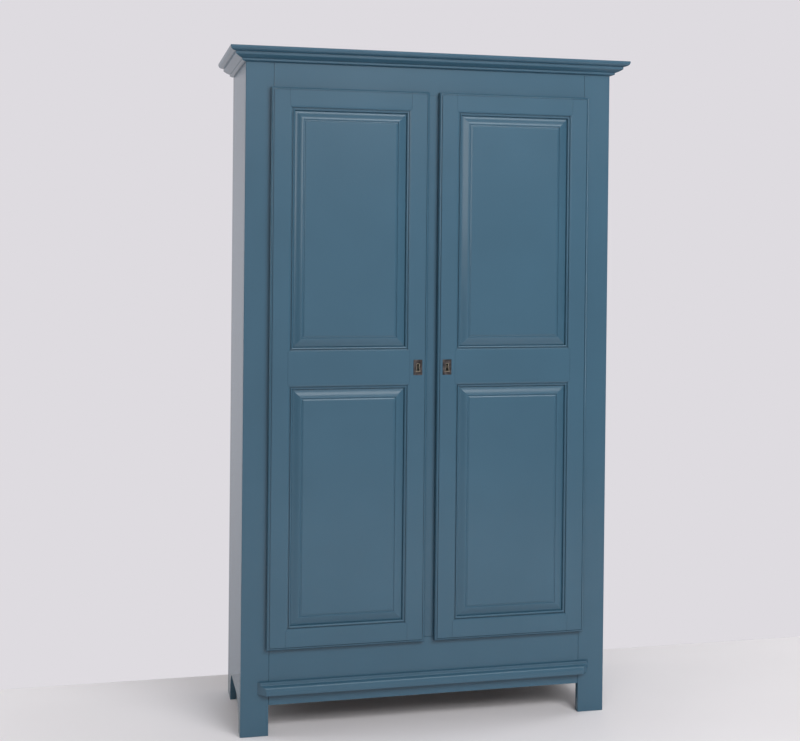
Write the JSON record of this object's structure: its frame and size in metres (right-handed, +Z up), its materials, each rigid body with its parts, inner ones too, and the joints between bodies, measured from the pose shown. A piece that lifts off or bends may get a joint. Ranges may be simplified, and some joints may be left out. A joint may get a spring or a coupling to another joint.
{
  "type": "wardrobe",
  "caption": "Tall painted wooden wardrobe with hinged raised-panel doors, keyhole plates, a moulded cornice, a hat shelf and coat pegs inside, and straight feet.",
  "frame": {"origin": "on the floor, under the centre of the whole box round the wardrobe", "axes": "+Z up along the height, -Y out of the doors towards the person who opens them, +X to that person's right"},
  "size_m": [1.184, 0.427, 1.95],
  "materials": {
    "blue_paint": "satin blue-grey paint",
    "bare_wood": "waxed pine",
    "peg_wood": "turned and waxed",
    "aged_brass": "dark aged brass",
    "lock_steel": "dull steel"
  },
  "bodies": {
    "carcass": {"back_board_1": "bare_wood", "back_board_2": "bare_wood", "back_board_3": "bare_wood", "bottom_back_rail": "bare_wood", "bottom_front_rail": "blue_paint", "centre_post": "blue_paint", "coat_peg_1": "peg_wood", "coat_peg_2": "peg_wood", "coat_peg_3": "peg_wood", "coat_peg_4": "peg_wood", "cornice_front": "blue_paint", "cornice_left": "blue_paint", "cornice_right": "blue_paint", "floor_board": "bare_wood", "hat_shelf": "bare_wood", "left_front_stile": "blue_paint", "left_hinge_1_frame_leaf": "aged_brass", "left_hinge_1_pin": "aged_brass", "left_hinge_2_frame_leaf": "aged_brass", "left_hinge_2_pin": "aged_brass", "left_rear_stile": "bare_wood", "left_shelf_cleat": "bare_wood", "left_side_panel": "blue_paint", "peg_rail": "bare_wood", "plinth_moulding": "blue_paint", "right_front_stile": "blue_paint", "right_hinge_1_frame_leaf": "aged_brass", "right_hinge_1_pin": "aged_brass", "right_hinge_2_frame_leaf": "aged_brass", "right_hinge_2_pin": "aged_brass", "right_rear_stile": "bare_wood", "right_shelf_cleat": "bare_wood", "right_side_panel": "blue_paint", "top_back_rail": "bare_wood", "top_board": "blue_paint", "top_front_rail": "blue_paint"},
    "left_door": {"left_door_bottom_rail": "blue_paint", "left_door_hinge_stile": "blue_paint", "left_door_lock_stile": "blue_paint", "left_door_lower_panel": "blue_paint", "left_door_middle_rail": "blue_paint", "left_door_top_rail": "blue_paint", "left_door_upper_panel": "blue_paint", "left_hinge_1_door_leaf": "aged_brass", "left_hinge_2_door_leaf": "aged_brass", "left_keyhole_plate": "aged_brass", "left_lock_case": "lock_steel"},
    "right_door": {"right_door_bottom_rail": "blue_paint", "right_door_hinge_stile": "blue_paint", "right_door_lock_stile": "blue_paint", "right_door_lower_panel": "blue_paint", "right_door_middle_rail": "blue_paint", "right_door_top_rail": "blue_paint", "right_door_upper_panel": "blue_paint", "right_hinge_1_door_leaf": "aged_brass", "right_hinge_2_door_leaf": "aged_brass", "right_keyhole_plate": "aged_brass", "right_lock_case": "lock_steel"},
    "left_bolt": {"left_lock_bolt": "lock_steel"},
    "right_bolt": {"right_lock_bolt": "lock_steel"}
  },
  "joints": [
    {"name": "left_door_hinge", "type": "hinge", "parent": "carcass", "child": "left_door", "pos_m": [-0.471, -0.1705, 0.2465], "axis": [0, 0, 1], "range_deg": [-95, 0]},
    {"name": "right_door_hinge", "type": "hinge", "parent": "carcass", "child": "right_door", "pos_m": [0.471, -0.1705, 0.2465], "axis": [0, 0, 1], "range_deg": [0, 95]},
    {"name": "left_bolt_slide", "type": "slide", "parent": "left_door", "child": "left_bolt", "axis": [1, 0, 0], "range_m": [0, 0.01]},
    {"name": "right_bolt_slide", "type": "slide", "parent": "right_door", "child": "right_bolt", "axis": [-1, 0, 0], "range_m": [0, 0.01]}
  ]
}
